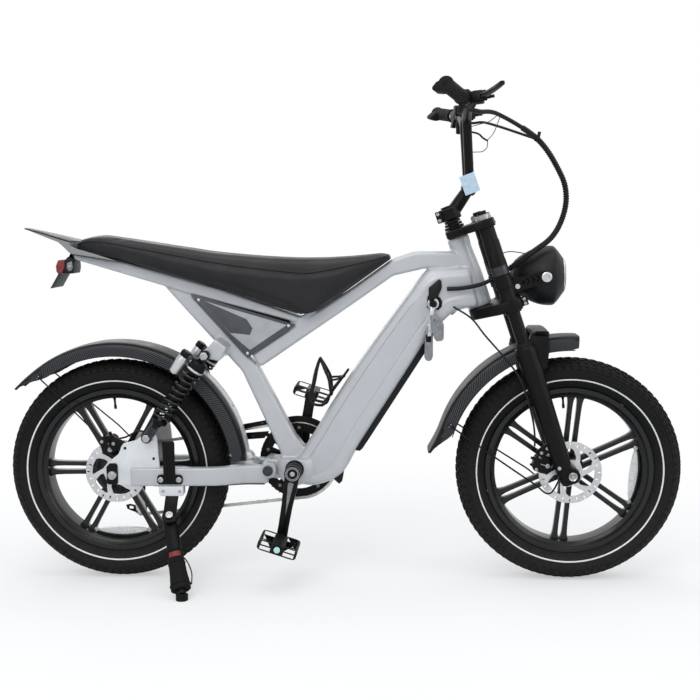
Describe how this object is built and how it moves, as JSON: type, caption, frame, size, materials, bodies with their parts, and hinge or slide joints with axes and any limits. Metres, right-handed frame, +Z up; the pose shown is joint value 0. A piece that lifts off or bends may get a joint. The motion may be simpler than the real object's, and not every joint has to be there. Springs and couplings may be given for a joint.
{
  "type": "electric bicycle",
  "caption": "Electric bicycle with fat knobbly tyres, twin rear shocks, a double-crown fork, a long bench seat, a round headlight, disc brakes and a kickstand.",
  "frame": {"origin": "centre of the whole part's footprint, at the height of its lowest point: the floor that both tyres and the kickstand pad stand on", "axes": "+X forwards along the bicycle, from the rear wheel to the front wheel; +Y towards the chain side; +Z up; the bicycle leans 3 degrees towards -Y, onto its kickstand"},
  "size_m": [1.7348, 0.6786, 1.2547],
  "materials": {
    "silver_paint": "semi-gloss",
    "black_paint": "semi-gloss",
    "dark_plastic": "satin",
    "rubber": "matte",
    "tyre": "matte",
    "vinyl": "satin",
    "steel": "satin",
    "chrome": "polished",
    "aluminium": "satin",
    "red_lens": "gloss",
    "clear_lens": "gloss"
  },
  "bodies": {
    "frame": {"head_tube": "silver_paint", "upper_beam": "silver_paint", "seat_rail": "silver_paint", "strut_tube": "silver_paint", "down_tube": "silver_paint", "battery_pack": "dark_plastic", "bb_shell": "silver_paint", "seat": "vinyl", "seat_base": "dark_plastic", "tail_light": "red_lens", "side_panels": "dark_plastic", "bottle_cage": "black_paint"},
    "key": {"key": "dark_plastic"},
    "crank": {"crank_near": "black_paint", "crank_far": "black_paint", "chainring": "steel"},
    "pedal_near": {"pedal_near": "dark_plastic"},
    "pedal_far": {"pedal_far": "dark_plastic"},
    "swingarm": {"swingarm_near": "silver_paint", "swingarm_far": "silver_paint", "swingarm_yoke": "silver_paint", "motor_core": "steel", "rear_caliper": "black_paint", "rear_brake_hose": "rubber", "rear_fender": "dark_plastic", "derailleur_body": "dark_plastic", "chain": "steel"},
    "rear_wheel": {"rear_tyre": "tyre", "rear_rim": "black_paint", "rear_rotor": "steel"},
    "freewheel": {"cassette": "steel"},
    "derailleur": {"derailleur_cage": "dark_plastic"},
    "kickstand": {"kickstand": "black_paint"},
    "shock_near": {"shock_near_body": "black_paint", "shock_near_spring": "black_paint"},
    "shock_near_rod": {"shock_near_rod": "chrome"},
    "shock_far": {"shock_far_body": "black_paint", "shock_far_spring": "black_paint"},
    "shock_far_rod": {"shock_far_rod": "chrome"},
    "steering": {"fork_crown": "black_paint", "top_crown": "black_paint", "stem": "black_paint", "handlebar": "black_paint", "grip_near": "rubber", "grip_far": "rubber", "loom": "rubber", "front_brake_hose": "rubber"},
    "fork_lower": {"fork_lowers": "black_paint", "front_axle": "steel", "front_caliper": "black_paint", "front_fender": "dark_plastic"},
    "front_wheel": {"front_tyre": "tyre", "front_rim": "black_paint", "front_rotor": "steel"},
    "headlight": {"headlight_shell": "dark_plastic", "headlight_lens": "clear_lens"},
    "lever_near": {"brake_lever_near": "dark_plastic"},
    "lever_far": {"brake_lever_far": "dark_plastic"},
    "thumb_near": {"shifter": "dark_plastic"},
    "thumb_far": {"throttle": "dark_plastic"}
  },
  "joints": [
    {"name": "swingarm_pivot", "type": "hinge", "parent": "frame", "child": "swingarm", "pos_m": [-0.18674, 0.04821, 0.29104], "axis": [0, 0.9986, 0.0523], "range_deg": [0, 8], "stiffness_Nm_per_rad": 900, "springref_deg": -5.73, "deforming": ["chain", "rear_brake_hose"]},
    {"name": "rear_wheel_spin", "type": "hinge", "parent": "swingarm", "child": "rear_wheel", "pos_m": [-0.58074, 0.04842, 0.28705], "axis": [0, 0.9986, 0.0523], "continuous": true},
    {"name": "freewheel_spin", "type": "hinge", "parent": "swingarm", "child": "freewheel", "pos_m": [-0.58074, 0.04842, 0.28705], "axis": [0, 0.9986, 0.0523], "continuous": true},
    {"name": "derailleur_cage_pivot", "type": "hinge", "parent": "swingarm", "child": "derailleur", "pos_m": [-0.55874, 0.05324, 0.19517], "axis": [0, 0.9986, 0.0523], "range_deg": [-6, 6], "stiffness_Nm_per_rad": 1},
    {"name": "kickstand_fold", "type": "hinge", "parent": "swingarm", "child": "kickstand", "pos_m": [-0.43574, -0.04569, 0.17196], "axis": [-0.1283, 0.7493, -0.6497], "range_deg": [0, 98]},
    {"name": "crank_spin", "type": "hinge", "parent": "frame", "child": "crank", "pos_m": [-0.11874, 0.04811, 0.29304], "axis": [0, 0.9986, 0.0523], "continuous": true},
    {"name": "pedal_near_spin", "type": "hinge", "parent": "crank", "child": "pedal_near", "pos_m": [-0.14972, 0.05686, 0.12611], "axis": [0, 0.9986, 0.0523], "continuous": true},
    {"name": "pedal_far_spin", "type": "hinge", "parent": "crank", "child": "pedal_far", "pos_m": [-0.08776, 0.03936, 0.45996], "axis": [0, 0.9986, 0.0523], "continuous": true},
    {"name": "key_turn", "type": "hinge", "parent": "frame", "child": "key", "pos_m": [0.23626, -0.01392, 0.71237], "axis": [0, 0.9986, 0.0523], "range_deg": [0, 90]},
    {"name": "shock_near_tilt", "type": "hinge", "parent": "frame", "child": "shock_near", "pos_m": [-0.33474, -0.06846, 0.58734], "axis": [0, 0.9986, 0.0523], "range_deg": [-1, 5]},
    {"name": "shock_near_slide", "type": "slide", "parent": "shock_near", "child": "shock_near_rod", "axis": [0.59, -0.0423, 0.8063], "range_m": [0, 0.045], "deforming": ["shock_near_spring"]},
    {"name": "shock_far_tilt", "type": "hinge", "parent": "frame", "child": "shock_far", "pos_m": [-0.33474, 0.13327, 0.59791], "axis": [0, 0.9986, 0.0523], "range_deg": [-1, 5]},
    {"name": "shock_far_slide", "type": "slide", "parent": "shock_far", "child": "shock_far_rod", "axis": [0.59, -0.0423, 0.8063], "range_m": [0, 0.045], "deforming": ["shock_far_spring"]},
    {"name": "steering_turn", "type": "hinge", "parent": "frame", "child": "steering", "pos_m": [0.35626, 0.02654, 0.70447], "axis": [-0.309, -0.0498, 0.9498], "range_deg": [-35, 35], "deforming": ["loom"]},
    {"name": "fork_slide", "type": "slide", "parent": "steering", "child": "fork_lower", "axis": [-0.309, -0.0498, 0.9498], "range_m": [0, 0.045], "stiffness_N_per_m": 8000, "springref_m": -0.04, "deforming": ["front_brake_hose"]},
    {"name": "front_wheel_spin", "type": "hinge", "parent": "fork_lower", "child": "front_wheel", "pos_m": [0.58074, 0.04843, 0.28695], "axis": [0, 0.9986, 0.0523], "continuous": true},
    {"name": "headlight_tilt", "type": "hinge", "parent": "steering", "child": "headlight", "pos_m": [0.51426, 0.02252, 0.78137], "axis": [0, 0.9986, 0.0523], "range_deg": [-10, 10]},
    {"name": "brake_lever_near_squeeze", "type": "hinge", "parent": "steering", "child": "lever_near", "pos_m": [0.34539, -0.22926, 1.19075], "axis": [0, -0.1061, -0.9944], "range_deg": [0, 25], "stiffness_Nm_per_rad": 2, "springref_deg": -5.73},
    {"name": "brake_lever_far_squeeze", "type": "hinge", "parent": "steering", "child": "lever_far", "pos_m": [0.34539, 0.23012, 1.21483], "axis": [0, -0.2095, 0.9778], "range_deg": [0, 25], "stiffness_Nm_per_rad": 2, "springref_deg": -5.73},
    {"name": "shifter_push", "type": "hinge", "parent": "steering", "child": "thumb_near", "pos_m": [0.3107, -0.19099, 1.18667], "axis": [-0.3513, -0.931, 0.0993], "range_deg": [0, 20], "stiffness_Nm_per_rad": 0.3, "springref_deg": -11.46},
    {"name": "throttle_push", "type": "hinge", "parent": "steering", "child": "thumb_far", "pos_m": [0.3107, 0.19248, 1.20677], "axis": [0.3513, -0.9155, -0.1961], "range_deg": [0, 20], "stiffness_Nm_per_rad": 0.3, "springref_deg": -11.46}
  ],
  "couplings": [
    {"joint": "freewheel_spin", "follows": "crank_spin", "ratio": 2.5},
    {"joint": "shock_near_tilt", "follows": "swingarm_pivot", "ratio": 0.3769},
    {"joint": "shock_near_slide", "follows": "swingarm_pivot", "m_per_rad": 0.3008},
    {"joint": "shock_far_tilt", "follows": "swingarm_pivot", "ratio": 0.3769},
    {"joint": "shock_far_slide", "follows": "swingarm_pivot", "m_per_rad": 0.3008}
  ]
}
